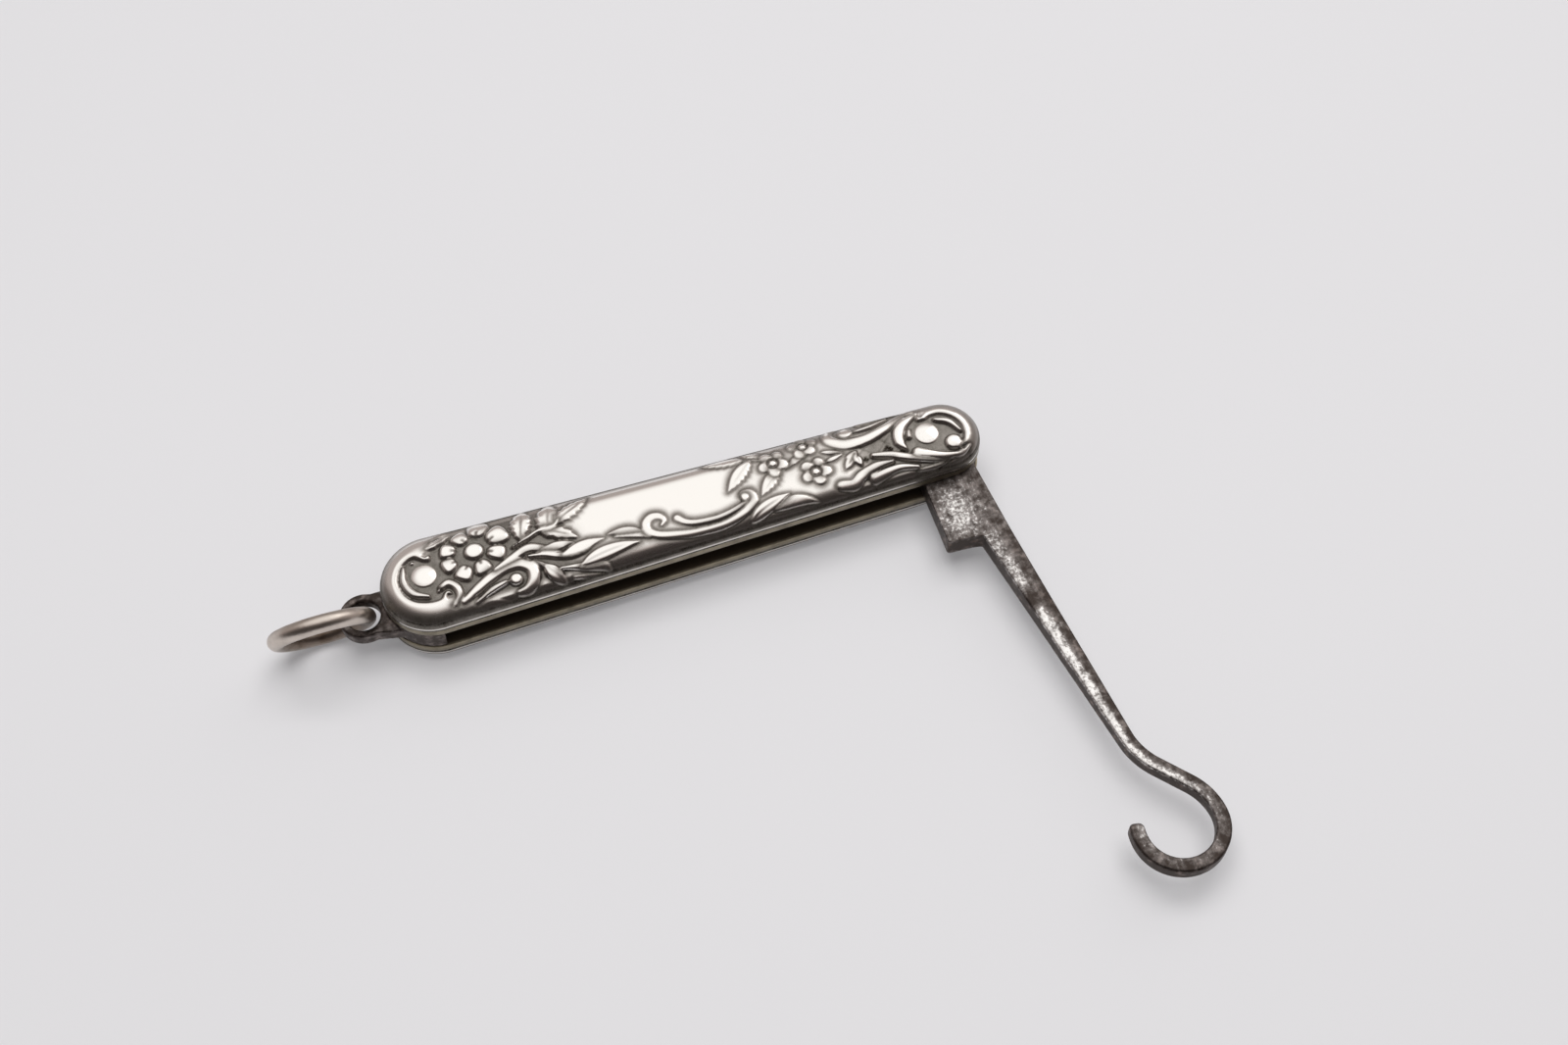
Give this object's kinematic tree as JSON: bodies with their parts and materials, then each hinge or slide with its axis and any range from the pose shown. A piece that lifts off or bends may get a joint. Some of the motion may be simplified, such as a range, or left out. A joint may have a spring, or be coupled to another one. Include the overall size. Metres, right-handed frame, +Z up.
{
  "type": "folding button hook",
  "caption": "Pocket button hook: a steel hook folds on a sprung pivot into a handle of domed embossed silver scales on thin liners, with a hanging ring at the tail.",
  "frame": {"origin": "on the table under the crown of the back scale, midway between the pivot pin and the tail pin", "axes": "+X along the handle from the tail to the pivot, +Z up through the front scale, the slot opens toward -Y"},
  "size_m": [0.0828, 0.0567, 0.0103],
  "materials": {
    "silver": "embossed, polished on the high parts and dark in the ground",
    "pitch": "cast pitch filling",
    "liner_metal": "dull sheet metal",
    "dark_steel": "darkened, worn",
    "hook_steel": "dark, pitted, with worn bright patches",
    "pin_metal": "polished heads",
    "ring_silver": "worn, finely scratched"
  },
  "bodies": {
    "handle": {"front_scale": "silver", "back_scale": "silver", "front_filling": "pitch", "back_filling": "pitch", "front_liner": "liner_metal", "back_liner": "liner_metal", "back_spring": "dark_steel", "pivot_pin": "pin_metal", "tail_pin": "pin_metal", "spring_pin": "dark_steel"},
    "hook": {"hook": "hook_steel"},
    "ring": {"hanging_ring": "ring_silver"}
  },
  "joints": [
    {"name": "hook_fold", "type": "hinge", "parent": "handle", "child": "hook", "pos_m": [0.0265, 0, 0.0042], "axis": [0, 0, 1], "range_deg": [-95, 85]},
    {"name": "ring_swing", "type": "hinge", "parent": "handle", "child": "ring", "pos_m": [-0.03325, -0.0006, 0.0042], "axis": [0, 0, 1], "range_deg": [-60, 60]}
  ]
}
